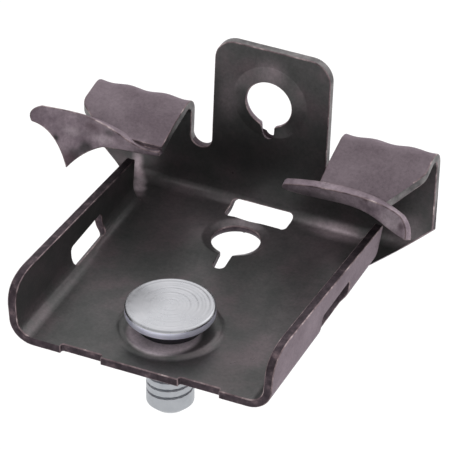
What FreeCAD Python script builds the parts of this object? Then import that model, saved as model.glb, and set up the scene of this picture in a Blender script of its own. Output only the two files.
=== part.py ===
"""Hammer-on flange clip: one folded spring steel sheet and the headed stud pressed into it.

Frame, in millimetres: the origin is on the stud's axis at the underside of the base plate.
+Z is up, +Y runs back to the upright wall, +X is to the right as the clip is seen from its mouth.
"""
import FreeCAD, Part
import collections
import math
import os

V = FreeCAD.Vector
UP = V(0, 0, 1)

# sheet
SHEET = 1.2
MID = SHEET / 2
CLEAR = 60.0               # length of a cutting solid that passes right through

# base plate and side walls
FRONT_Y = -9.5             # mouth edge, ahead of the stud's axis
BASE_HALF = 18.4           # to the outer face of a side wall, at the plate's top
WALL_BEND = 2.8            # bend radii are those of the middle of the sheet
SPLAY = math.radians(4)    # outward lean of the walls
WALL_FRONT = 9.0           # height of a wall's top edge, carried forward to the mouth
WALL_FALL = 0.069          # drop of that edge per millimetre of depth
NOSE_LENGTH = 5.5          # rounded nose of a wall
NOSE_FOOT = 5.2            # height where it starts
WALL_REAR_TOP = 26.2       # depth of a wall's rear end, at its top edge and at its foot
WALL_REAR_FOOT = 24.6
FLOOR_FLARE = 0.46         # widening of the plate behind the walls, per millimetre of depth
MOUTH_NOTCH_X = (5.5, 11.2)      # shallow notches left in the mouth edge
MOUTH_NOTCH_DEPTH = 0.6

# back wall, leaning slightly away from the mouth
BACK_Y = 30.0              # its front face at the level of the plate's top
BACK_BEND = 2.2
LEAN = math.radians(3.8)
TAB_TOP = 24.3             # heights on the back wall are above the plate's top
TAB_CORNER = 3.0
NOTCH_FOOT = 7.1           # foot of the gap between tab and wing
HOOK_FOOT = 10.0           # where a wing starts to turn into its hook

# hooks: their heights are those of the sheet's underside
CREST_BEND = 1.7
HOOK_KNEE_Y = 25.6
HOOK_KNEE_BEND = 14.0
HOOK_END = (21.6, 12.0)    # depth and height of the hook's front end
HOOK_NECK_HALF = 20.4      # outer edge of the hook where it meets its blade
HOOK_SHOULDER = 2.5        # rounding where that edge runs out into the wing's edge
RIPPLE = 0.22              # the crest is rippled where the wing was bent over
RIPPLE_PITCH = 5.4
RIPPLE_PEAK = 15.2         # half width at one of its peaks
HOOK_SECTIONS = 13

# The hooks were twisted one by one, so each side has its own widths, heights and blade. Floor is the
# half width of the plate just behind the walls, and tab that of the tab. A crest is given at the
# wing's inner edge, with its tilt per millimetre of width. A blade is a twisted sheet, at x: its depth
# and its forward lean in degrees. It is cut to an outline seen from the mouth, in x and height: rim,
# outer end, tooth, lower edge, inner end.
BLADE_LEVEL = 12.2         # height at which the blades' depths are given
BLADE_SPAN = (5.0, 21.0)
Side = collections.namedtuple("Side", "floor tab inner outer crest tilt knee shoulder_y twist blade")
RIGHT = Side(
    floor=16.85,
    tab=8.5,
    inner=11.05,
    outer=24.2,
    crest=15.87,
    tilt=0.075,
    knee=13.9,
    shoulder_y=27.0,
    twist=((5, 20.6, 16), (12, 21.0, 16), (16, 20.9, 12),
           (19.5, 20.4, -2), (23, 19.4, -20), (28, 17.4, -32)),
    blade=(
        ((6.9, 13.15), (11.0, 13.95), (17.2, 14.25), (21.0, 13.95), (23.5, 13.5)),
        ((23.5, 13.5), (24.7, 12.4), (25.0, 11.1)),
        ((25.0, 11.1), (23.0, 11.05), (18.0, 11.95), (11.7, 11.85), (7.4, 12.0)),
        ((7.4, 12.0), (6.4, 12.5), (6.9, 13.15)),
    ),
)
LEFT = Side(
    floor=17.5,
    tab=8.25,
    inner=11.35,
    outer=25.0,
    crest=14.65,
    tilt=-0.04,
    knee=13.3,
    shoulder_y=25.2,
    twist=((5, 20.6, 10), (12, 21.0, 7), (16, 20.8, -3),
           (19.5, 20.0, -20), (23, 18.8, -32), (30, 15.8, -38)),
    blade=(
        ((11.5, 12.7), (15.0, 12.8), (17.7, 14.1), (20.3, 15.0), (25.6, 15.85), (28.2, 16.15)),
        ((28.2, 16.15), (29.4, 15.4), (29.0, 14.4)),
        ((29.0, 14.4), (26.1, 12.9), (24.6, 11.35), (23.3, 9.25)),
        ((23.3, 9.25), (22.0, 10.55), (19.4, 11.8)),
        ((19.4, 11.8), (17.0, 11.65), (15.0, 11.55), (11.5, 11.9)),
        ((11.5, 11.9), (11.5, 12.7)),
    ),
)

# keyholes, pressed out of the sheet to take a screw's thread; their walls are relieved behind a
# short land, as punching leaves them. Form is that of the pressed zone: its radius, its rise at the
# hole, its bend and the height where the relief starts
KEY_R = 3.3
KEY_SLOT = (1.2, 0.8)      # half width of its slot, at the hole and at its end
KEY_FILLET = 0.7
KEY_RIM = -0.2             # from the hole's wall out to the middle of the sheet's sloped end
KEY_RELIEF = 0.55          # widening over a sheet's thickness
TAB_KEY = 16.4             # height of the hole in the tab
TAB_KEY_REACH = 5.45       # from the hole's middle to the slot's end
TAB_KEY_FORM = (5.2, 0.55, 2.0, 0.65)
BASE_KEY = (-0.85, 22.4)   # place of the hole in the plate
BASE_KEY_REACH = 7.6
BASE_KEY_TURN = math.radians(5.5)   # its slot doesn't point quite forward
BASE_KEY_FORM = (4.6, -0.75, MID, -0.4)

# slots cut in the bends, up to a line part of the way round each bend
SLOT_CORNER = 0.7
WALL_SLOT_ANGLE = math.radians(45)
WALL_SLOT_Y = (6.4, 15.5)
WALL_SLOT_TOP = 4.5
BACK_SLOT_ANGLE = math.radians(36)
BACK_SLOT_X = (-4.6, 4.35)
BACK_SLOT_Y = 26.6
BACK_SLOT_TOP = 2.2        # top of its cutter, just clear of the sheet

# boss and stud
BOSS_R = 6.3
BOSS_FOOT_R = 7.2
BOSS = 0.6
SEAT_R = 3.5               # the stud's pressed seat fills the boss's hole
STUD_R = 3.175
STUD_LENGTH = 10.9
STUD_CHAMFER = 0.9
HEAD_R = 5.95
HEAD_EDGE = 0.4
HEAD_UNDER = 3.65          # heights of the head's underside and top
HEAD_TOP = 5.1
COLLAR_R = 4.3


def edge(p, m, q):
    """A straight edge, or an arc through m."""
    if m is None:
        return Part.LineSegment(p, q).toShape()
    return Part.Arc(p, m, q).toShape()


def curve(points):
    """A straight edge through two points, a smooth one through more."""
    if len(points) == 2:
        return edge(points[0], None, points[1])
    line = Part.BSplineCurve()
    line.interpolate(points)
    return line.toShape()


def in_xz(p):
    return V(p.x, 0, p.y)


def in_yz(p):
    return V(0, p.x, p.y)


def in_plan(p):
    return V(p.x, p.y, -1)


def prism(points, place, along):
    """Solid of a closed polygon, drawn in a plane and pushed along a vector."""
    wire = Part.makePolygon([place(V(a, b, 0)) for a, b in points + points[:1]])
    return Part.Face(wire).extrude(along)


def mirrored(shape):
    return shape.mirror(V(0, 0, 0), V(1, 0, 0))


def strip_wire(points, radii, place):
    """Closed outline of a bent sheet, from the corners of its middle line and its bend radii.

    A bend whose radius is half the sheet is sharp on its inside.
    """
    pts = [V(a, b, 0) for a, b in points]
    runs = []
    start = pts[0]
    for i, radius in enumerate(radii, 1):
        into = (pts[i] - pts[i - 1]).normalize()
        out = (pts[i + 1] - pts[i]).normalize()
        turn = math.atan2(into.x * out.y - into.y * out.x, into * out)
        trim = radius * math.tan(abs(turn) / 2)
        p = pts[i] - into * trim
        q = pts[i] + out * trim
        centre = p + V(-into.y, into.x, 0) * math.copysign(radius, turn)
        runs.append((start, p, None, 0))
        runs.append((p, q, centre, math.copysign(1, turn)))
        start = q
    runs.append((start, pts[-1], None, 0))

    def side(sign):
        edges = []
        for p, q, centre, turn in runs:
            if centre is None:
                d = (q - p).normalize()
                shift = V(-d.y, d.x, 0) * (sign * MID)
                edges.append((p + shift, None, q + shift))
            else:
                r = (p - centre).Length
                k = (r - sign * turn * MID) / r
                mid = ((p - centre) + (q - centre)).normalize() * r
                if k > 1e-6:
                    edges.append((centre + (p - centre) * k, centre + mid * k, centre + (q - centre) * k))
        return edges

    left, right = side(1), side(-1)
    edges = []
    for p, m, q in left:
        edges.append(edge(place(p), place(m) if m else None, place(q)))
    edges.append(edge(place(left[-1][2]), None, place(right[-1][2])))
    for p, m, q in reversed(right):
        edges.append(edge(place(q), place(m) if m else None, place(p)))
    edges.append(edge(place(right[0][0]), None, place(left[0][0])))
    return Part.Wire(edges)


def level(h):
    """Height of a point that lies h up the back wall from the plate's top."""
    return SHEET + h * math.cos(LEAN)


def back_y(z):
    """Depth of the back wall's middle plane at a height."""
    return BACK_Y + MID / math.cos(LEAN) + (z - SHEET) * math.tan(LEAN)


def wall_x(z):
    """Half width to a side wall's middle plane, at a height."""
    return BASE_HALF - MID / math.cos(SPLAY) + (z - SHEET) * math.tan(SPLAY)


def floor_x(side, y):
    """Half width of the plate behind the walls, at a depth."""
    return side.floor + FLOOR_FLARE * (y - WALL_REAR_FOOT)


def bend_back(radius, lean):
    """Distance from a bend's corner back to its centre, where the sheet is bent up to a lean."""
    return radius * math.tan((math.pi / 2 - lean) / 2)


def channel():
    """Base plate with its two side walls, cut to the walls' outline from the side."""
    foot = wall_x(MID)
    above = WALL_FRONT + SHEET
    head = wall_x(above)
    line = [(-head, above), (-foot, MID), (foot, MID), (head, above)]
    sheet = Part.Face(strip_wire(line, [WALL_BEND, WALL_BEND], in_xz)).extrude(V(0, CLEAR, 0))
    sheet.translate(V(0, FRONT_Y, 0))

    def top_edge(y):
        return V(-CLEAR / 2, y, WALL_FRONT - WALL_FALL * (y - FRONT_Y))

    nose = Part.BezierCurve()
    nose_start = V(-CLEAR / 2, FRONT_Y, NOSE_FOOT)
    nose_end = top_edge(FRONT_Y + NOSE_LENGTH)
    nose.setPoles([nose_start, top_edge(FRONT_Y), nose_end])
    corners = [nose_end, top_edge(WALL_REAR_TOP), V(-CLEAR / 2, WALL_REAR_FOOT, SHEET),
               V(-CLEAR / 2, WALL_REAR_FOOT, -1), V(-CLEAR / 2, FRONT_Y, -1), nose_start]
    edges = [nose.toShape()] + [edge(p, None, q) for p, q in zip(corners, corners[1:])]
    return sheet.common(Part.Face(Part.Wire(edges)).extrude(V(CLEAR, 0, 0)))


def back_wall():
    """Back wall bent up from the plate, with tab, notches and wings, up to where the hooks start."""
    start = WALL_REAR_FOOT - 2 * BACK_BEND
    line = [(start, MID), (back_y(MID), MID), (back_y(CLEAR), CLEAR)]
    sheet = Part.Face(strip_wire(line, [BACK_BEND], in_yz)).extrude(V(CLEAR, 0, 0))
    sheet.translate(V(-CLEAR / 2, 0, 0))
    return sheet.common(back_outline(RIGHT).fuse(mirrored(back_outline(LEFT))))


def back_outline(side):
    """Cutter with the back wall's outline on the right: half the tab, a notch and a wing.

    The wing's lower corner is cut off at 45 degrees, in line with the edge of the plate.
    """
    r = (side.inner - side.tab) / 2
    foot = level(NOTCH_FOOT) + r
    top = level(TAB_TOP)
    outline = [(0, -1), (side.outer, -1), (side.outer, level(HOOK_FOOT)), (side.inner, level(HOOK_FOOT)),
               (side.inner, foot), (side.tab, foot), (side.tab, top), (0, top)]
    half = prism(outline, in_xz, V(0, CLEAR, 0))
    half = half.cut(Part.makeCylinder(r, CLEAR, V(side.tab + r, 0, foot), V(0, 1, 0)))
    corner = V(side.tab, CLEAR / 2, top)
    half = half.makeFillet(TAB_CORNER, [e for e in half.Edges if (e.CenterOfMass - corner).Length < 1e-6])
    plan = [(-CLEAR, 0), (floor_x(side, 0) - 1, 0), (floor_x(side, CLEAR) - 1, CLEAR), (-CLEAR, CLEAR)]
    return half.common(prism(plan, in_plan, V(CLEAR, 0, CLEAR)))


def hook(side):
    """Hook on the right: the wing turned forward over a rippled crest, narrowing to its blade's neck.

    It starts a little below the wing's top, so that the two are one sheet.
    """
    wires = []
    foot = level(HOOK_FOOT) - SHEET
    for i in range(HOOK_SECTIONS):
        x = side.inner + (side.outer - side.inner) * i / (HOOK_SECTIONS - 1)
        crest = side.crest + side.tilt * (x - side.inner)
        crest += RIPPLE * math.cos(2 * math.pi * (x - RIPPLE_PEAK) / RIPPLE_PITCH)
        line = [(back_y(foot), foot), (back_y(crest + MID), crest + MID), (HOOK_KNEE_Y, side.knee + MID),
                (HOOK_END[0], HOOK_END[1] + MID)]
        wires.append(strip_wire(line, [CREST_BEND, HOOK_KNEE_BEND], lambda p: V(x, p.x, p.y)))
    sheet = Part.makeLoft(wires, True, False)
    plan = [(0, CLEAR), (0, 0), (HOOK_NECK_HALF, 0), (HOOK_NECK_HALF, HOOK_END[0]),
            (side.outer, side.shoulder_y), (side.outer, CLEAR)]
    cutter = prism(plan, in_plan, V(0, 0, CLEAR))
    shoulder = V(side.outer, side.shoulder_y, CLEAR / 2 - 1)
    picked = [e for e in cutter.Edges if (e.CenterOfMass - shoulder).Length < 1e-6]
    return sheet.common(cutter.makeFillet(HOOK_SHOULDER, picked))


def blade(side):
    """Blade on the right: its twisted front face, cut to its outline and thickened square to itself."""
    low, high = BLADE_SPAN
    lines = []
    for x, y, lean in side.twist:
        slope = math.tan(math.radians(lean))
        foot = V(x, y - slope * (low - BLADE_LEVEL), low)
        head = V(x, y - slope * (high - BLADE_LEVEL), high)
        lines.append(Part.Wire(edge(foot, None, head)))
    front = Part.makeLoft(lines, False, False)
    edges = [curve([V(x, 0, z) for x, z in points]) for points in side.blade]
    face = front.common(Part.Face(Part.Wire(edges)).extrude(V(0, CLEAR, 0))).Faces[0]
    return face.makeOffsetShape(SHEET, 1e-3, fill=True)


def pressed(body, centre, axis, line, radii):
    """Press a round zone of the sheet out of its plane: line runs from its outer edge to the hole."""
    across = V(1, 0, 0)
    zone = Part.makeCylinder(line[0][0], 2 * SHEET, centre - axis * SHEET, axis)
    ring = Part.Face(strip_wire(line, radii, lambda p: centre + across * p.x + axis * p.y))
    return body.cut(zone).fuse(ring.revolve(centre, axis, 360))


def keyhole(body, centre, axis, down, reach, form):
    """Pressed keyhole: a round hole with a narrowing slot that points down."""
    form_r, rise, bend, land = form
    line = [(form_r + MID, 0), (form_r, 0), (KEY_R + KEY_RIM, rise)]
    body = pressed(body, centre, axis, line, [bend])
    wide, narrow = KEY_SLOT
    across = axis.cross(down)
    depth = 4 * SHEET
    back = centre - axis * depth
    end = down * (reach - narrow)
    slot = [back - across * wide, back - across * narrow + end, back + down * reach,
            back + across * narrow + end, back + across * wide]
    sides = [edge(slot[0], None, slot[1]), edge(slot[1], slot[2], slot[3]), edge(slot[3], None, slot[4]),
             edge(slot[4], None, slot[0])]
    cutter = Part.Face(Part.Wire(sides)).extrude(axis * (2 * depth))
    cutter = cutter.fuse(Part.makeCylinder(KEY_R, 2 * depth, back, axis)).removeSplitter()
    inner = [e for e in cutter.Edges if is_mouth(e, centre, axis, down, 2 * depth)]
    cutter = cutter.makeFillet(KEY_FILLET, inner)
    outline = min(cutter.Faces, key=lambda f: (f.CenterOfMass - centre) * axis).OuterWire
    near = outline.translated(axis * (depth + land))
    far = outline.makeOffset2D(KEY_RELIEF).translated(axis * (depth + land - SHEET))
    return body.cut(cutter).cut(Part.makeLoft([near, far], True, True))


def is_mouth(e, centre, axis, down, length):
    """True for the two edges where a keyhole's slot opens into its round hole."""
    if abs(e.Length - length) > 1e-6:
        return False
    off = e.CenterOfMass - centre
    off = off - axis * (off * axis)
    return off * down > 0 and abs(off.Length - KEY_R) < 1e-3


def wall_slot():
    """Cutter for the right wall's slot, from part of the way round its bend up the wall."""
    x = wall_x(MID) - bend_back(WALL_BEND, SPLAY)
    z = MID + WALL_BEND
    fall = math.tan(WALL_SLOT_ANGLE)
    near, far = WALL_BEND / 3, WALL_FRONT
    cut = [(x + near, z - near * fall), (x + far, z - far * fall), (x + far, WALL_SLOT_TOP),
           (x + near, WALL_SLOT_TOP)]
    y0, y1 = WALL_SLOT_Y
    cutter = prism(cut, in_xz, V(0, y1 - y0, 0))
    cutter.translate(V(0, y0, 0))
    return rounded(cutter, [V(1, 0, 0), V(math.cos(WALL_SLOT_ANGLE), 0, -math.sin(WALL_SLOT_ANGLE))])


def back_slot():
    """Cutter for the slot at the back wall's foot, from the plate to part of the way round the bend."""
    y = back_y(MID) - bend_back(BACK_BEND, LEAN)
    z = MID + BACK_BEND
    run = 1 / math.tan(BACK_SLOT_ANGLE)
    top = BACK_SLOT_TOP
    cut = [(BACK_SLOT_Y, top), (y + (z - top) * run, top), (y + 2 * z * run, -z), (BACK_SLOT_Y, -z)]
    x0, x1 = BACK_SLOT_X
    cutter = prism(cut, in_yz, V(x1 - x0, 0, 0))
    cutter.translate(V(x0, 0, 0))
    return rounded(cutter, [UP, V(0, math.cos(BACK_SLOT_ANGLE), -math.sin(BACK_SLOT_ANGLE))])


def rounded(cutter, directions):
    """Round the corners of a slot's cutter: its edges along the directions that run through the sheet."""
    picked = []
    for e in cutter.Edges:
        tangent = e.tangentAt(e.FirstParameter)
        if any(abs(tangent * d) > 1 - 1e-6 for d in directions):
            picked.append(e)
    return cutter.makeFillet(SLOT_CORNER, picked)


def mouth_notch():
    """Cutter for the right notch in the mouth edge."""
    x0, x1 = MOUTH_NOTCH_X
    depth = MOUTH_NOTCH_DEPTH
    cutter = Part.makeBox(x1 - x0, 2 * depth, CLEAR, V(x0, FRONT_Y - depth, -CLEAR / 2))
    inner = [e for e in cutter.Edges if abs(e.Length - CLEAR) < 1e-6 and e.CenterOfMass.y > FRONT_Y]
    return cutter.makeFillet(depth / 2, inner)


def clip_body():
    """The folded sheet, whole."""
    body = channel().fuse(back_wall())
    for piece in (hook(RIGHT), mirrored(hook(LEFT)), blade(RIGHT), mirrored(blade(LEFT))):
        body = body.fuse(piece)
    boss = [(BOSS_FOOT_R + MID, 0), (BOSS_FOOT_R, 0), (BOSS_R, BOSS), (SEAT_R, BOSS)]
    body = pressed(body, V(0, 0, MID), UP, boss, [MID, MID])
    forward = V(math.sin(BASE_KEY_TURN), -math.cos(BASE_KEY_TURN), 0)
    body = keyhole(body, V(*BASE_KEY, MID), UP, forward, BASE_KEY_REACH, BASE_KEY_FORM)
    z = level(TAB_KEY)
    front = V(0, -math.cos(LEAN), math.sin(LEAN))
    down = V(0, -math.sin(LEAN), -math.cos(LEAN))
    body = keyhole(body, V(0, back_y(z), z), front, down, TAB_KEY_REACH, TAB_KEY_FORM)
    for cutter in (wall_slot(), mouth_notch()):
        body = body.cut(cutter).cut(mirrored(cutter))
    return body.cut(back_slot()).removeSplitter()


def threaded_stud():
    """Headed stud, turned in one piece, with its collar on the boss and its seat in the boss's hole."""
    seat = BOSS + SHEET
    end = -STUD_LENGTH
    profile = [(0, HEAD_TOP), (HEAD_R - HEAD_EDGE, HEAD_TOP), (HEAD_R, HEAD_TOP - HEAD_EDGE),
               (HEAD_R, HEAD_UNDER), (COLLAR_R, HEAD_UNDER), (COLLAR_R, seat), (SEAT_R, seat), (SEAT_R, BOSS),
               (STUD_R, BOSS), (STUD_R, end + STUD_CHAMFER), (STUD_R - STUD_CHAMFER, end), (0, end)]
    wire = Part.makePolygon([V(r, 0, z) for r, z in profile + profile[:1]])
    return Part.Face(wire).revolve(V(0, 0, 0), UP, 360)


def main():
    os.makedirs("parts", exist_ok=True)
    for name, shape in (("clip_body", clip_body()), ("threaded_stud", threaded_stud())):
        solid = shape.Solids[0]
        print(name, len(shape.Solids), solid.isValid(), round(solid.Volume, 1))
        solid.exportStep("parts/" + name + ".step")


main()
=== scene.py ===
"""Looks of the flange clip: dark phosphated spring steel and a bright plated stud, in the CAD frame.

Lengths are in millimetres, and become metres where a mesh, a node or the camera takes them.
"""
import math
from collections import namedtuple

import bmesh
import bpy
from mathutils import Euler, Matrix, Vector
from mathutils.bvhtree import BVHTree


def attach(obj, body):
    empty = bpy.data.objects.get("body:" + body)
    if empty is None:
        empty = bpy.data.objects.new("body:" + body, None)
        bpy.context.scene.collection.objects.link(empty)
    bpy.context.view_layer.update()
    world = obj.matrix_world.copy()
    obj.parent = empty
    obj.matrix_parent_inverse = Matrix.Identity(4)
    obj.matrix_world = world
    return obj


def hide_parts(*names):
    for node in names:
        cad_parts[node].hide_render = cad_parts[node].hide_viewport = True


MM = 0.001
WHITE = (1, 1, 1)

# camera, fitted to the photograph's edges
CAMERA_AT = (177.26, -377.33, 308.94)
CAMERA_TURN = (55.05, -0.487, 24.55)     # degrees
LENS = 320.0
SENSOR = 36.0
CLIP = (10.0, 20000.0)

# studio: a pale floor, and a soft surround that is bright behind the part, with a lamp at the back right
FLOOR_AT = -250.0
FLOOR_SIZE = 6000.0
FLOOR_TONE = (0.8, 0.8, 0.8)
FLOOR_ROUGHNESS = 0.9
FLOOR_GLOW = 0.25
FRONT_LIGHT = 0.6
BACK_LIGHT = 1.25
BACK_FROM = (0.0, 0.8, 0.6)
BACK_EDGE = (-0.3, 0.95)                 # cosines to that direction, from the dim part to the bright one
LAMP_LIGHT = 0.8
LAMP_FROM = (0.35, 0.75, 0.56)
LAMP_EDGE = (0.9, 0.98)

# sheet: what tells its two sides, its cut edges and its blades apart
SHEET = 1.2
PLATE_POINT = (10.0, 5.0, SHEET)         # on the inside of the fold
SKIN = 0.01                              # step into the metal, from where its depth is measured
DEEP = 1.5 * SHEET                       # a cut edge has more metal than this behind it
HOOK_LEVEL = 9.0
BLADE_JOIN = (20.9, 22.2)                # from the blades' front to where they run into the hooks
BLADE_FACING = -0.6                      # faces of a blade that look further down keep the inside's darker coat, as painted shade
INSIDE, OUTSIDE, CUT, WORN, LIT_CUT, BLADE = range(6)

# mesh of the sheet: lengths, and angles in degrees
WELD = 0.002
FLAT_ANGLE = 0.5
SHARP_ANGLE = 35
SMOOTH_ANGLE = 55
END_ANGLE = 15                           # for a crease at the end of a rounded edge
FOLD_ANGLE = 150
EDGE_ROUND = 0.13
EDGE_SEGMENTS = 2
ROOM = 0.35                              # clear distance that an edge needs to be rounded

# tones of the coat and of the edges, from the dark clouds to the light ones
INSIDE_TONES = ((0.062, 0.063, 0.062), (0.081, 0.077, 0.078), (0.114, 0.092, 0.099))
# the outside's tones: a lighter, pinker copy of the coat, as painted light on the outer faces
OUTSIDE_LIT_TONES = ((0.136, 0.106, 0.122), (0.163, 0.130, 0.147), (0.188, 0.151, 0.170))
CUT_TONES = ((0.042, 0.033, 0.039), (0.076, 0.058, 0.068), (0.19, 0.140, 0.152))
WORN_TONES = ((0.095, 0.072, 0.080), (0.25, 0.190, 0.200), (0.68, 0.58, 0.57))
# the hooks' cut edges: a lighter copy of the edges' tones, as painted light
HOOK_EDGE_LIT_TONES = ((0.10, 0.094, 0.097), (0.19, 0.18, 0.182), (0.30, 0.28, 0.28))
# the blades: a lighter copy of the coat, as painted light where they face up
BLADE_LIT_TONES = ((0.17, 0.131, 0.155), (0.255, 0.204, 0.232), (0.31, 0.255, 0.284))

# noise in the materials: its scales, the levels where tones and gloss change, and shades as (level, share)
CLOUDS = 130.0
CLOUD_STEPS = (0.38, 0.5, 0.64)
GLOSS_LEVELS = (0.3, 0.7)
GRAIN = 2300.0
GRAIN_DEPTH = 0.08
SPECKLE = ((0.25, 0.78), (0.5, 1.0), (0.68, 1.14), (0.8, 1.5))
BLOTCHES = 620.0
BLOTCH_SHADE = ((0.34, 0.8), (0.5, 1.0), (0.66, 1.13))
EDGE_STEPS = (0.35, 0.55, 0.75)
EDGE_DEPTH = 0.1
PLATE_CLOUDS = 500.0
COAT_METAL = 0.5
SHEEN = (0.84, 0.72, 0.82)               # purplish tint of the outside's reflections
ANISOTROPY = 0.6

# painted shade: the inside is blacker low on the upright walls, where shade falls: height and share of the
# tone
LOW_WALLS_PAINTED_DARK = ((1.4, 1.0), (4.0, 0.62), (13.0, 0.55), (22.0, 1.0))
SHADE_TOP = 26.0

# places with a tone of their own, which is full within one radius and fades out to the other: on the sheet
# these are painted light, painted highlights and painted shade
Spot = namedtuple("Spot", "middle scale full end share tone")
SPOT_LEVELS = (0.35, 0.6)
SPOT_DARK = 0.5                          # share of the tone in the dark clouds
ROUND = (1, 1, 1)
# tones of the spots: painted highlight, painted light and painted shade
PAINTED_HIGHLIGHT = (0.80, 0.69, 0.74)
PAINTED_LIGHT = (0.52, 0.42, 0.46)
PAINTED_SHADE = (0.045, 0.047, 0.045)
PAINTED_DEEP_SHADE = (0.012, 0.012, 0.012)
PAINTED_RED_SHADE = (0.085, 0.050, 0.060)
INSIDE_SPOTS = (
    Spot((5.0, -6.5, 1.2), (0.2, 0.6, 1), 0.8, 3.2, 0.5, PAINTED_SHADE),         # front of the plate: painted shade
    Spot((0, -1.8, 1.8), ROUND, 4.3, 5.2, 0.95, PAINTED_HIGHLIGHT),                  # front of the boss: painted reflection of the head's underside
    Spot((0, 31.2, 22.2), ROUND, 0.4, 3.0, 0.28, PAINTED_LIGHT),                 # above the tab's hole: painted light where the dish faces up
    Spot((-5.8, 31.0, 17.2), (1, 1, 0.5), 0.3, 2.6, 0.2, PAINTED_LIGHT),         # beside it: painted light
    Spot((-2.0, 30.4, 9.0), (0.3, 1, 0.8), 1.0, 4.0, 0.6, PAINTED_DEEP_SHADE),       # below it: painted shade
    Spot((0, 25.0, 1.2), (0.2, 0.5, 1), 0.8, 4.5, 0.13, PAINTED_LIGHT),          # rear of the plate: painted light
    Spot((-0.6, 26.1, 0.9), (0.35, 1, 1), 0.2, 1.0, 0.25, PAINTED_LIGHT),        # rim of the plate's hole: painted highlight
    Spot((-10.8, 29.3, 1.4), (0.25, 1, 1), 0.3, 1.6, 0.12, PAINTED_LIGHT),       # rear bend, left of its slot: painted highlight
    Spot((10.5, 28.6, 1.7), (0.28, 1, 1), 0.5, 1.9, 0.75, PAINTED_LIGHT),        # right of it: painted highlight
    Spot((13.5, 9.0, 1.2), (1, 0.3, 1), 1.0, 5.0, 0.1, PAINTED_LIGHT),           # right side of the plate: painted light
    Spot((-15.7, 1.5, 1.3), (0.5, 0.15, 1), 0.3, 1.6, 0.3, PAINTED_SHADE),       # its left bend: painted shade that dims its highlight
    Spot((20.0, 30.1, 3.0), (0.5, 1, 0.5), 0.6, 2.2, 0.22, PAINTED_LIGHT),       # foot of the right wing: painted light
    Spot((-19.1, 30.1, 3.4), (1, 1, 0.4), 0.1, 1.2, 0.75, PAINTED_LIGHT),        # rear left corner: back wall, painted reflection of light through the gap
    Spot((-18.7, 29.6, 1.7), ROUND, 0.1, 1.2, 0.95, PAINTED_LIGHT),              # bend, painted reflection
    Spot((-18.1, 28.5, 1.2), ROUND, 0.3, 1.4, 0.9, PAINTED_HIGHLIGHT),               # plate, from there forwards: painted light
    Spot((-17.5, 27.3, 1.2), ROUND, 0.3, 1.3, 1.0, PAINTED_HIGHLIGHT),
    Spot((-16.9, 26.2, 1.2), ROUND, 0.1, 1.2, 0.6, PAINTED_LIGHT),
)
# spots on the blades: painted light, painted highlights and painted shade
BLADE_SPOTS = (
    Spot((-21.4, 18.9, 11.7), ROUND, 0.4, 1.4, 0.8, PAINTED_SHADE),              # tooth of the left blade: painted shade where it curves down
    Spot((-22.6, 18.1, 10.8), ROUND, 0.3, 1.3, 0.7, PAINTED_SHADE),
    Spot((-23.4, 17.3, 9.9), ROUND, 0.5, 2.2, 0.75, PAINTED_RED_SHADE),             # its tip: painted shade
    Spot((-25.5, 18.2, 12.6), ROUND, 0.1, 0.7, 0.9, PAINTED_SHADE),              # its outer edge: painted shade
    Spot((-23.4, 19.4, 13.4), (0.4, 1, 1), 0.1, 1.0, 0.3, PAINTED_HIGHLIGHT),        # along its middle: painted highlight
    Spot((-19.4, 20.3, 12.8), (0.4, 1, 1), 0.1, 1.0, 0.35, PAINTED_HIGHLIGHT),
    Spot((-21.0, 20.6, 14.3), (0.4, 1, 1), 0.1, 0.9, 0.5, PAINTED_RED_SHADE),       # fold below its ridge: painted shade
    Spot((-18.8, 21.0, 13.8), (0.6, 1, 1), 0.1, 0.8, 0.7, PAINTED_SHADE),
    Spot((10.4, 20.9, 12.0), (0.2, 1, 1), 0.4, 1.5, 0.55, PAINTED_SHADE),        # underside of the right blade: painted shade
    Spot((22.3, 19.8, 12.6), ROUND, 0.6, 2.6, 0.45, PAINTED_HIGHLIGHT),              # its end: painted light
    Spot((18.4, 20.5, 14.1), ROUND, 0.1, 0.7, 0.7, PAINTED_RED_SHADE),              # dints in it: painted shade
    Spot((23.9, 19.0, 12.4), ROUND, 0.1, 0.9, 0.7, PAINTED_RED_SHADE),
)

# stud, as in the CAD source
STUD_R = 3.175
STUD_TOP = 0.6
STUD_END = -10.9
CHAMFER = 0.9
SEAT_R = 3.5
SEAT_TOP = 1.8
COLLAR_R = 4.3
HEAD_R = 5.95
HEAD_UNDER = 3.65
HEAD_TOP = 5.1

# detail of the stud
PITCH = 1.27
THREAD_DEPTH = 0.4
GROOVE = 0.3                             # share of the pitch taken by a groove
GROOVE_PHASE = 0.49
FLANK_SLOPE = 1.2                        # over 1, which leaves the groove a flat bottom
THREAD_LEAD = 2.1                        # plain length at the shank's end
THREAD_FADE = 0.5
HEAD_EDGE = 0.4
UNDER_EDGE = 0.15
TOOL_MARKS = (0.5, 0.83)                 # spacings of the turned rings on the head
TOOL_DEPTH = 0.028
# the head's top is darker towards its left side
HEAD_DARK_LEFT = Spot((-6.0, -0.5, HEAD_TOP), ROUND, 0.3, 6.2, 0.85, (0.25, 0.25, 0.265))
AROUND = 96
FACE_ROWS = 80
HEAD_EDGE_ROWS = 6
THREAD_ROWS = 180
PLATED, LIT_SIDE, DULL, NECK_IN_SHADE = range(4)

# the mix node's sockets for colours, which share their names with those for numbers
MIX_FIRST, MIX_SECOND, MIX_RESULT = 6, 7, 2


def new_material(name):
    material = bpy.data.materials.new(name)
    material.use_nodes = True
    tree = material.node_tree
    return material, tree, tree.nodes["Principled BSDF"]


def add(tree, kind, **values):
    """A node with its properties and unlinked sockets set."""
    node = tree.nodes.new(kind)
    for key, value in values.items():
        if hasattr(node, key):
            setattr(node, key, value)
        else:
            node.inputs[key].default_value = value
    return node


def object_coords(tree):
    return tree.nodes.new("ShaderNodeTexCoord").outputs["Object"]


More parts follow.
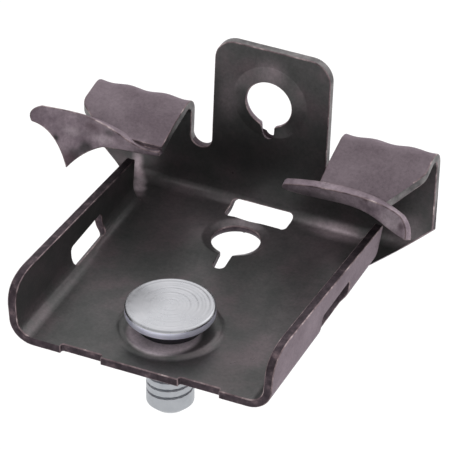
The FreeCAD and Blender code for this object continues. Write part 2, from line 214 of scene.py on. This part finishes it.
def noise(tree, coords, scale, detail=4.0, rough=0.55):
    node = add(tree, "ShaderNodeTexNoise", Scale=scale, Detail=detail, Roughness=rough)
    tree.links.new(coords, node.inputs["Vector"])
    return node.outputs["Fac"]


def ramp(tree, value, stops):
    """Colour ramp from (place, colour) stops."""
    node = tree.nodes.new("ShaderNodeValToRGB")
    elements = node.color_ramp.elements
    while len(elements) < len(stops):
        elements.new(0.5)
    for element, (place, colour) in zip(elements, stops):
        element.position = place
        element.color = (*colour, 1)
    tree.links.new(value, node.inputs["Fac"])
    return node.outputs["Color"]


def shades(tree, value, stops):
    """Ramp of greys from (place, share) stops, to multiply a tone by."""
    return ramp(tree, value, [(place, (share, share, share)) for place, share in stops])


def span(tree, value, source, target, kind="LINEAR"):
    """A value mapped from one range to another."""
    node = add(tree, "ShaderNodeMapRange", interpolation_type=kind)
    node.inputs["From Min"].default_value = source[0]
    node.inputs["From Max"].default_value = source[1]
    node.inputs["To Min"].default_value = target[0]
    node.inputs["To Max"].default_value = target[1]
    tree.links.new(value, node.inputs["Value"])
    return node.outputs["Result"]


def along(tree, coords, axis, source, target, kind="LINEAR"):
    """A coordinate mapped from a range in millimetres to another range."""
    parts = add(tree, "ShaderNodeSeparateXYZ")
    tree.links.new(coords, parts.inputs["Vector"])
    return span(tree, parts.outputs[axis], [s * MM for s in source], target, kind)


def mix(tree, kind, share, first, second):
    """Two colours mixed by a share, which is a number or a node's output."""
    node = add(tree, "ShaderNodeMix", data_type="RGBA", blend_type=kind)
    if isinstance(share, float):
        node.inputs["Factor"].default_value = share
    else:
        tree.links.new(share, node.inputs["Factor"])
    tree.links.new(first, node.inputs[MIX_FIRST])
    tree.links.new(second, node.inputs[MIX_SECOND])
    return node.outputs[MIX_RESULT]


def bump(tree, height, strength, depth):
    node = add(tree, "ShaderNodeBump", Strength=strength, Distance=depth * MM)
    tree.links.new(height, node.inputs["Height"])
    return node.outputs["Normal"]


def spotted(tree, coords, cloud, tone, spot):
    """A tone changed to a spot's own round its place, softly."""
    scaled = add(tree, "ShaderNodeVectorMath", operation="MULTIPLY")
    scaled.inputs[1].default_value = spot.scale
    tree.links.new(coords, scaled.inputs[0])
    away = add(tree, "ShaderNodeVectorMath", operation="DISTANCE")
    away.inputs[1].default_value = [m * s * MM for m, s in zip(spot.middle, spot.scale)]
    tree.links.new(scaled.outputs["Vector"], away.inputs[0])
    radii = (spot.end * MM, spot.full * MM)
    share = span(tree, away.outputs["Value"], radii, (0.0, spot.share), "SMOOTHSTEP")
    dark = [SPOT_DARK * c for c in spot.tone]
    own = ramp(tree, cloud, list(zip(SPOT_LEVELS, (dark, spot.tone))))
    return mix(tree, "MIX", share, tone, own)


def coat_material(name, tones, roughness, tint, spots=(), shaded=False, joins=None):
    """Phosphate coat: clouds of tone and gloss, fine grain with pale specks, and places of their own with
    painted light and shade.

    A shaded coat has painted shade: it is blacker low on the upright walls. One that joins another has
    blotches, and runs into the other's tones towards the back.
    """
    material, tree, shader = new_material(name)
    coords = object_coords(tree)
    cloud = noise(tree, coords, CLOUDS, detail=7.0, rough=0.66)
    grain = noise(tree, coords, GRAIN, detail=4.0, rough=0.7)
    tone = ramp(tree, cloud, list(zip(CLOUD_STEPS, tones)))
    if shaded:
        # painted shade: darker low on the upright walls
        height = along(tree, coords, "Z", (0.0, SHADE_TOP), (0.0, 1.0))
        shade = shades(tree, height, [(z / SHADE_TOP, share) for z, share in LOW_WALLS_PAINTED_DARK])
        tone = mix(tree, "MULTIPLY", 1.0, tone, shade)
    if joins:
        blotch = noise(tree, coords, BLOTCHES, detail=3.0)
        tone = mix(tree, "MULTIPLY", 1.0, tone, shades(tree, blotch, BLOTCH_SHADE))
    for spot in spots:
        tone = spotted(tree, coords, cloud, tone, spot)
    if joins:
        other = ramp(tree, cloud, list(zip(CLOUD_STEPS, joins)))
        back = along(tree, coords, "Y", BLADE_JOIN, (0.0, 1.0), "SMOOTHSTEP")
        tone = mix(tree, "MIX", back, tone, other)
    tone = mix(tree, "MULTIPLY", 1.0, tone, shades(tree, grain, SPECKLE))
    tree.links.new(tone, shader.inputs["Base Color"])
    tree.links.new(span(tree, cloud, GLOSS_LEVELS, roughness), shader.inputs["Roughness"])
    tree.links.new(bump(tree, grain, strength=0.2, depth=GRAIN_DEPTH), shader.inputs["Normal"])
    shader.inputs["Specular Tint"].default_value = (*tint, 1)
    shader.inputs["Metallic"].default_value = COAT_METAL
    return material


def edge_material(name, tones, roughness, scale):
    """Bare or worn steel along the sheet's edges, in patches of tone."""
    material, tree, shader = new_material(name)
    coords = object_coords(tree)
    patches = noise(tree, coords, scale, detail=5.0, rough=0.65)
    tone = ramp(tree, patches, list(zip(EDGE_STEPS, tones)))
    tree.links.new(tone, shader.inputs["Base Color"])
    tree.links.new(bump(tree, patches, strength=0.3, depth=EDGE_DEPTH), shader.inputs["Normal"])
    shader.inputs["Roughness"].default_value = roughness
    shader.inputs["Metallic"].default_value = 1.0
    return material


def plating(name, dark, light, roughness, metal=1.0, turned=False):
    """Zinc plate, with the brushed gloss of the turned face and its darker left side where asked."""
    material, tree, shader = new_material(name)
    coords = object_coords(tree)
    cloud = noise(tree, coords, PLATE_CLOUDS)
    tone = ramp(tree, cloud, list(zip(GLOSS_LEVELS, (dark, light))))
    tree.links.new(span(tree, cloud, GLOSS_LEVELS, roughness), shader.inputs["Roughness"])
    shader.inputs["Metallic"].default_value = metal
    if turned:
        tone = spotted(tree, coords, cloud, tone, HEAD_DARK_LEFT)
        tangent = add(tree, "ShaderNodeTangent", direction_type="RADIAL", axis="Z")
        tree.links.new(tangent.outputs["Tangent"], shader.inputs["Tangent"])
        shader.inputs["Anisotropic"].default_value = ANISOTROPY
    tree.links.new(tone, shader.inputs["Base Color"])
    return material


def link(obj):
    bpy.context.scene.collection.objects.link(obj)
    return obj


def mark_creases(bm):
    """Smooth shading, apart from sharp edges and the ends of rounded ones."""
    bm.normal_update()
    for face in bm.faces:
        face.smooth = True
    for edge in bm.edges:
        edge.smooth = edge.calc_face_angle(0) < math.radians(SMOOTH_ANGLE)
    for vert in bm.verts:
        if sum(not e.smooth for e in vert.link_edges) == 1:
            for edge in vert.link_edges:
                edge.smooth = edge.calc_face_angle(0) < math.radians(END_ANGLE)


def finish_piece(bm, name, node, materials):
    """Turn a mesh into a piece of the fixed body that stands for a CAD node."""
    mark_creases(bm)
    mesh = bpy.data.meshes.new(name)
    bm.to_mesh(mesh)
    bm.free()
    for material in materials:
        mesh.materials.append(material)
    obj = link(bpy.data.objects.new(name, mesh))
    normals = obj.modifiers.new("normals", "WEIGHTED_NORMAL")
    normals.keep_sharp = True
    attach(obj, "root")
    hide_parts(node)


def face_islands(bm):
    """Groups of faces that meet without a sharp edge between them."""
    left = set(bm.faces)
    while left:
        front = [left.pop()]
        island = []
        while front:
            face = front.pop()
            island.append(face)
            for edge in face.edges:
                if edge.calc_face_angle(math.pi) < math.radians(SHARP_ANGLE):
                    found = left.intersection(edge.link_faces)
                    left -= found
                    front += found
        yield island


def is_cut(solid, island):
    """Whether the metal behind most of an island is deep, as it is behind a cut edge."""
    deep = 0
    for face in island:
        start = face.calc_center_median() - SKIN * MM * face.normal
        depth = solid.ray_cast(start, -face.normal)[3]
        if depth is None or depth > DEEP * MM:
            deep += face.calc_area()
    return deep > sum(f.calc_area() for f in island) / 2


def hooked(face, side):
    """A face's material on a side of the sheet, which differs at the hooks.

    The blades get a lighter coat as painted light, apart from faces that look down, which keep the inside's
    coat as painted shade, and the hooks' cut edges get a lighter tone as painted light.
    """
    middle = face.calc_center_median() / MM
    if middle.z <= HOOK_LEVEL:
        return side
    if middle.y < BLADE_JOIN[1]:
        # painted light on the blades, and painted shade where they look down
        light = side == CUT or face.normal.z > BLADE_FACING
        return BLADE if light else INSIDE
    # painted light on the hooks' cut edges
    return LIT_CUT if side == CUT else side


def mark_sides(bm):
    """Set each face's material, from the side of the sheet that it is on."""
    solid = BVHTree.FromBMesh(bm)
    plate_top = solid.find_nearest(Vector(PLATE_POINT) * MM)[2]
    for island in face_islands(bm):
        if any(f.index == plate_top for f in island):
            side = INSIDE
        elif is_cut(solid, island):
            side = CUT
        else:
            side = OUTSIDE
        for face in island:
            face.material_index = hooked(face, side)


def fold_places(bm):
    """Where the mesh folds back on itself."""
    bm.normal_update()
    folded = [e for e in bm.edges if e.calc_face_angle(0) > math.radians(FOLD_ANGLE)]
    return [(e.verts[0].co + e.verts[1].co) / 2 for e in folded]


def from_edge(edge, place):
    """Distance of a place from an edge."""
    start = edge.verts[0].co
    run = edge.verts[1].co - start
    share = (place - start).dot(run) / run.length_squared
    return (start + max(0.0, min(1.0, share)) * run - place).length


def round_edges(sheet, tight):
    """A copy of the sheet with its sharp edges rounded off, apart from those near the tight places."""
    bm = sheet.copy()
    surface = BVHTree.FromBMesh(bm)
    sharp = [e for e in bm.edges if e.calc_face_angle(0) > math.radians(SHARP_ANGLE)]
    roomy = [e for e in sharp if all(from_edge(e, place) > ROOM * MM for place in tight)]
    bmesh.ops.bevel(bm, geom=roomy, offset=EDGE_ROUND * MM, offset_type="OFFSET", segments=EDGE_SEGMENTS,
                    profile=0.5, affect="EDGES", clamp_overlap=False, material=WORN)
    # where edges meet at a narrow angle, the rounding overshoots: those points go back to the sheet
    for vert in bm.verts:
        place, *_, distance = surface.find_nearest(vert.co)
        if distance > EDGE_ROUND / 2 * MM:
            vert.co = place
    return bm


def build_sheet(cad):
    """The folded sheet with its sharp edges rounded off, where a trial shows that there is room for it."""
    sheet = bmesh.new()
    sheet.from_mesh(cad.data)
    bmesh.ops.remove_doubles(sheet, verts=sheet.verts, dist=WELD * MM)
    sheet.normal_update()
    sheet.faces.index_update()
    mark_sides(sheet)
    bmesh.ops.dissolve_limit(sheet, angle_limit=math.radians(FLAT_ANGLE), verts=sheet.verts,
                             edges=sheet.edges, delimit={"MATERIAL"})
    trial = round_edges(sheet, [])
    bm = round_edges(sheet, fold_places(trial))
    trial.free()
    sheet.free()
    materials = [
        coat_material("phosphated_steel", INSIDE_TONES, roughness=(0.38, 0.27), tint=WHITE,
                      spots=INSIDE_SPOTS, shaded=True),
        # outside: a lighter copy of the coat, painted light
        coat_material("phosphated_outside_lit", OUTSIDE_LIT_TONES, roughness=(0.58, 0.48), tint=SHEEN),
        edge_material("cut_edge", CUT_TONES, roughness=0.6, scale=800.0),
        edge_material("worn_edge", WORN_TONES, roughness=0.5, scale=520.0),
        # hooks' cut edges: painted light
        edge_material("hook_edge_lit", HOOK_EDGE_LIT_TONES, roughness=0.5, scale=500.0),
        # blades: a lighter copy of the coat, painted light
        coat_material("hammered_blade_lit", BLADE_LIT_TONES, roughness=(0.55, 0.42), tint=SHEEN,
                      spots=BLADE_SPOTS, joins=OUTSIDE_LIT_TONES),
    ]
    finish_piece(bm, "sheet", "clip_body", materials)


def thread_radius(turn, z):
    """Radius of the threaded shank at a share of a turn and a height."""
    phase = (z / PITCH - turn + GROOVE_PHASE) % 1.0
    flank = max(0.0, 1 - abs(2 * phase - 1) / GROOVE)
    fade = min((STUD_TOP - z) / PITCH, (z - STUD_END - THREAD_LEAD) / THREAD_FADE)
    depth = THREAD_DEPTH * min(1.0, FLANK_SLOPE * flank) * max(0.0, min(1.0, fade))
    chamfer = STUD_R - max(0.0, STUD_END + CHAMFER - z)
    return min(STUD_R - depth, chamfer)


def ring_point(i, r, z):
    angle = 2 * math.pi * i / AROUND
    return (r * math.cos(angle) * MM, r * math.sin(angle) * MM, z * MM)


def stud_rows():
    """Heights, radii and materials of the stud's rings, from the middle of its head to its shank."""
    rows = []
    face_r = HEAD_R - HEAD_EDGE
    for i in range(1, FACE_ROWS):
        r = face_r * i / FACE_ROWS
        cut = sum(1 - math.cos(2 * math.pi * r / spacing) for spacing in TOOL_MARKS)
        rows.append((HEAD_TOP - TOOL_DEPTH * cut / (2 * len(TOOL_MARKS)), r, PLATED))
    for i in range(HEAD_EDGE_ROWS):
        angle = math.pi / 2 * (1 - i / HEAD_EDGE_ROWS)
        z = HEAD_TOP - HEAD_EDGE * (1 - math.sin(angle))
        rows.append((z, face_r + HEAD_EDGE * math.cos(angle), PLATED))
    return rows + [
        # the head's side: a brighter, bluer copy of the plating, as painted light
        (HEAD_TOP - HEAD_EDGE, HEAD_R, LIT_SIDE),
        (HEAD_UNDER + UNDER_EDGE, HEAD_R, LIT_SIDE),
        (HEAD_UNDER, HEAD_R - UNDER_EDGE, LIT_SIDE),
        # the neck under the head: near black, as painted shade
        (HEAD_UNDER, COLLAR_R, NECK_IN_SHADE),
        (SEAT_TOP, COLLAR_R, NECK_IN_SHADE),
        (SEAT_TOP, SEAT_R, DULL),
        (STUD_TOP, SEAT_R, DULL),
        (STUD_TOP, STUD_R, DULL),
    ]


def build_stud():
    """The headed stud, with the thread that the CAD solid leaves out."""
    bm = bmesh.new()
    rings = []
    kinds = []
    for z, r, kind in stud_rows():
        rings.append([bm.verts.new(ring_point(i, r, z)) for i in range(AROUND)])
        kinds.append(kind)
    for k in range(1, THREAD_ROWS + 1):
        z = STUD_TOP + (STUD_END - STUD_TOP) * k / THREAD_ROWS
        radii = [thread_radius(i / AROUND, z) for i in range(AROUND)]
        rings.append([bm.verts.new(ring_point(i, r, z)) for i, r in enumerate(radii)])
        kinds.append(DULL)
    for upper, lower, kind in zip(rings, rings[1:], kinds):
        for i in range(AROUND):
            j = (i + 1) % AROUND
            bm.faces.new((upper[i], lower[i], lower[j], upper[j])).material_index = kind
    bm.faces.new(rings[0]).material_index = PLATED
    bm.faces.new(reversed(rings[-1])).material_index = DULL
    materials = [
        plating("plated_steel", dark=(0.45, 0.455, 0.48), light=(0.54, 0.54, 0.565), roughness=(0.24, 0.36),
                turned=True),
        # side of the head: lit copy of the plating, painted light
        plating("plated_side_lit", dark=(0.79, 0.79, 0.96), light=(0.89, 0.89, 1.0), roughness=(0.36, 0.46),
                metal=0.6),
        plating("plated_thread", dark=(0.36, 0.375, 0.40), light=(0.46, 0.475, 0.50), roughness=(0.38, 0.5)),
        # neck: painted shade under the head
        plating("neck_in_shade", dark=(0.03, 0.03, 0.035), light=(0.05, 0.05, 0.055), roughness=(0.4, 0.5)),
    ]
    finish_piece(bm, "stud", "threaded_stud", materials)


def build_floor():
    bpy.ops.mesh.primitive_plane_add(size=FLOOR_SIZE * MM, location=(0, 0, FLOOR_AT * MM))
    floor = bpy.context.object
    material, _, shader = new_material("floor")
    shader.inputs["Base Color"].default_value = (*FLOOR_TONE, 1)
    shader.inputs["Roughness"].default_value = FLOOR_ROUGHNESS
    shader.inputs["Emission Color"].default_value = (*WHITE, 1)
    shader.inputs["Emission Strength"].default_value = FLOOR_GLOW
    floor.data.materials.append(material)


def glow(tree, coords, towards, edge, light):
    """Light that grows with the cosine to a direction."""
    cosine = add(tree, "ShaderNodeVectorMath", operation="DOT_PRODUCT")
    cosine.inputs[1].default_value = towards
    tree.links.new(coords, cosine.inputs[0])
    return span(tree, cosine.outputs["Value"], edge, light, "SMOOTHSTEP")


def build_light():
    """Soft surround, brighter behind the part, with a lamp at the back right."""
    world = bpy.data.worlds.new("studio")
    bpy.context.scene.world = world
    world.use_nodes = True
    tree = world.node_tree
    coords = tree.nodes.new("ShaderNodeTexCoord").outputs["Generated"]
    total = add(tree, "ShaderNodeMath", operation="ADD")
    tree.links.new(glow(tree, coords, BACK_FROM, BACK_EDGE, (FRONT_LIGHT, BACK_LIGHT)), total.inputs[0])
    tree.links.new(glow(tree, coords, LAMP_FROM, LAMP_EDGE, (0.0, LAMP_LIGHT)), total.inputs[1])
    background = tree.nodes["Background"]
    background.inputs["Color"].default_value = (*WHITE, 1)
    tree.links.new(total.outputs["Value"], background.inputs["Strength"])


def build_camera():
    data = bpy.data.cameras.new("camera")
    data.lens = LENS
    data.sensor_width = SENSOR
    data.clip_start = CLIP[0] * MM
    data.clip_end = CLIP[1] * MM
    camera = link(bpy.data.objects.new("camera", data))
    camera.location = Vector(CAMERA_AT) * MM
    camera.rotation_euler = Euler([math.radians(a) for a in CAMERA_TURN])
    bpy.context.scene.camera = camera


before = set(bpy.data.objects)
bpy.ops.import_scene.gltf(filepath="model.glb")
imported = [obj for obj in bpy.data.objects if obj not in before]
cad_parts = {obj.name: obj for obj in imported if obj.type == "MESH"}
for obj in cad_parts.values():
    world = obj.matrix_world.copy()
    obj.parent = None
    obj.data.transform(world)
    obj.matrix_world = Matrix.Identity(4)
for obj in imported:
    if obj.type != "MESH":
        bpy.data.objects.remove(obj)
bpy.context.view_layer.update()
build_sheet(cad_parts["clip_body"])
build_stud()
build_floor()
build_light()
build_camera()
bpy.context.scene.view_settings.view_transform = "Standard"
bpy.context.view_layer.update()
